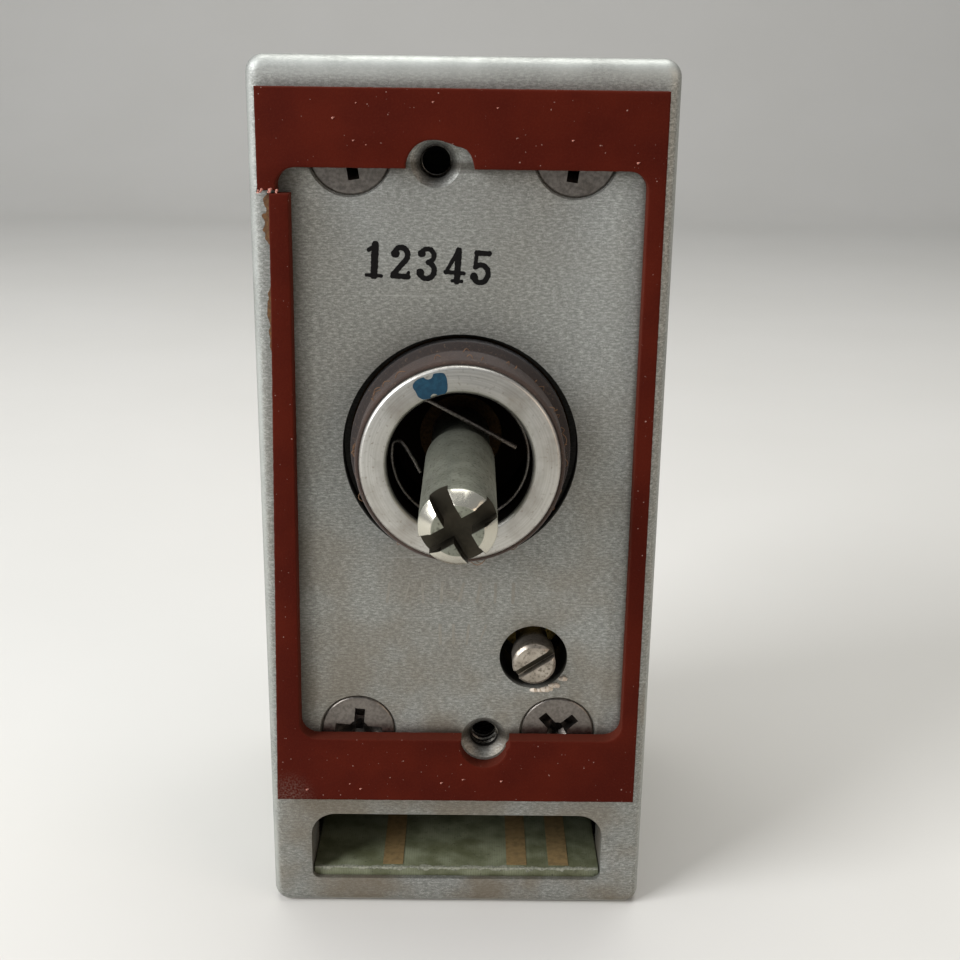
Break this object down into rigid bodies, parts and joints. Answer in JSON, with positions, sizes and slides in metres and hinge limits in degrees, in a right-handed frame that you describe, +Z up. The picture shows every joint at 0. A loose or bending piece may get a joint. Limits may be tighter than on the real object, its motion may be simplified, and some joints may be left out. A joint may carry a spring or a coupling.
{
  "type": "selector key switch",
  "caption": "Panel-mounted selector key switch with a gasketed front plate, a turning collar round a cross-slotted key spindle, a slotted adjuster and a board window.",
  "frame": {"origin": "where the control axis, common to the collar and the spindle, crosses the front face of the plate", "axes": "-Y points out of the front plate towards the user, +Z is up along the long side, +X is to the user's right"},
  "size_m": [0.0382, 0.0625, 0.0849],
  "materials": {
    "plate": "sand-blasted bare aluminium, faintly brushed",
    "case": "blasted aluminium",
    "red_gasket": "brick-red rubbery gasket sheet",
    "rear_gasket": "brick-red rubbery gasket sheet",
    "collar": "turned bare metal, satin",
    "seal": "dark brown rubber, matt and dusty",
    "spindle_steel": "turned steel, dull",
    "nickel": "nickel-plated steel, tarnished",
    "zinc": "zinc-plated steel",
    "frame_metal": "rolled sheet aluminium",
    "brass": "drawn brass, satin",
    "bronze": "sintered bronze, oiled",
    "spring_steel": "drawn spring steel",
    "black_clip": "phosphated spring steel",
    "acetal": "natural acetal",
    "phenolic": "brown phenolic laminate",
    "black_moulding": "black phenolic moulding",
    "red_button": "red thermoplastic",
    "trimmer_blue": "blue thermoset moulding",
    "carbon": "screened carbon film",
    "tinned": "tinned brass",
    "board": "green-grey glass-epoxy laminate",
    "copper": "dull copper foil under flux",
    "wire_jacket": "cream wire jacket"
  },
  "bodies": {
    "housing": {"front_plate": "plate", "case_body": "case", "rear_gasket": "rear_gasket", "rear_cover": "case", "case_bolts": "zinc", "face_gasket": "red_gasket", "face_screws": "nickel", "front_standoffs": "brass", "mechanism_plate": "frame_metal", "rear_standoffs": "brass", "bearing_plate": "frame_metal", "standoff_screws": "zinc", "collar_bush": "bronze", "collar_thrust_washer": "acetal", "detent_post": "frame_metal", "detent_post_screw": "zinc", "detent_spring": "spring_steel", "detent_clamp_screw": "zinc", "stop_pin": "spindle_steel", "wafer_stator": "phenolic", "wafer_contacts": "tinned", "wafer_spacers": "brass", "wafer_screws": "zinc", "guide_pins": "spindle_steel", "return_springs": "spring_steel", "rear_bush": "bronze", "cam_switch_body": "black_moulding", "push_switch_body": "black_moulding", "switch_screws": "zinc", "switch_terminals": "tinned", "trimmer_bush": "brass", "trimmer_nut": "nickel", "trimmer_body": "trimmer_blue", "trimmer_track": "carbon", "trimmer_pins": "tinned", "circuit_board": "board", "contact_tracks": "copper", "board_washers": "acetal", "board_screws": "zinc", "lead_wires": "wire_jacket"},
    "collar": {"selector_collar": "collar", "collar_seal": "seal", "collar_circlip": "black_clip", "detent_wheel": "zinc", "thrust_ring": "bronze", "spindle_bushes": "bronze", "grip_spring": "spring_steel", "wafer_rotor": "black_moulding", "rotor_blade": "brass"},
    "carriage": {"thrust_yoke": "zinc"},
    "spindle": {"spindle": "spindle_steel", "spindle_clip": "black_clip", "switch_cam": "acetal", "cam_pin": "spindle_steel"},
    "cam_plunger": {"cam_switch_plunger": "red_button"},
    "push_plunger": {"push_switch_plunger": "red_button"},
    "adjuster": {"adjuster_screw": "zinc", "trimmer_wiper": "brass"}
  },
  "joints": [
    {"name": "collar_turn", "type": "hinge", "parent": "housing", "child": "collar", "pos_m": [0, 0, 0], "axis": [0, -1, 0], "range_deg": [-60, 60], "deforming": ["detent_spring"]},
    {"name": "spindle_push", "type": "slide", "parent": "housing", "child": "carriage", "axis": [0, 1, 0], "range_m": [0, 0.0015], "stiffness_N_per_m": 1500, "springref_m": -0.001, "deforming": ["return_springs"]},
    {"name": "spindle_turn", "type": "hinge", "parent": "carriage", "child": "spindle", "pos_m": [0, 0, 0], "axis": [0, -1, 0], "range_deg": [0, 90]},
    {"name": "cam_switch_travel", "type": "slide", "parent": "housing", "child": "cam_plunger", "axis": [1, 0, 0], "range_m": [0, 0.0015]},
    {"name": "push_switch_travel", "type": "slide", "parent": "housing", "child": "push_plunger", "axis": [0, 1, 0], "range_m": [0, 0.0015]},
    {"name": "adjuster_turn", "type": "hinge", "parent": "housing", "child": "adjuster", "pos_m": [0.0074, 0, -0.0212], "axis": [0, -1, 0], "range_deg": [-135, 135]}
  ],
  "couplings": [
    {"joint": "cam_switch_travel", "follows": "spindle_turn", "m_per_rad": 0.00095397},
    {"joint": "push_switch_travel", "follows": "spindle_push", "ratio": 1}
  ]
}
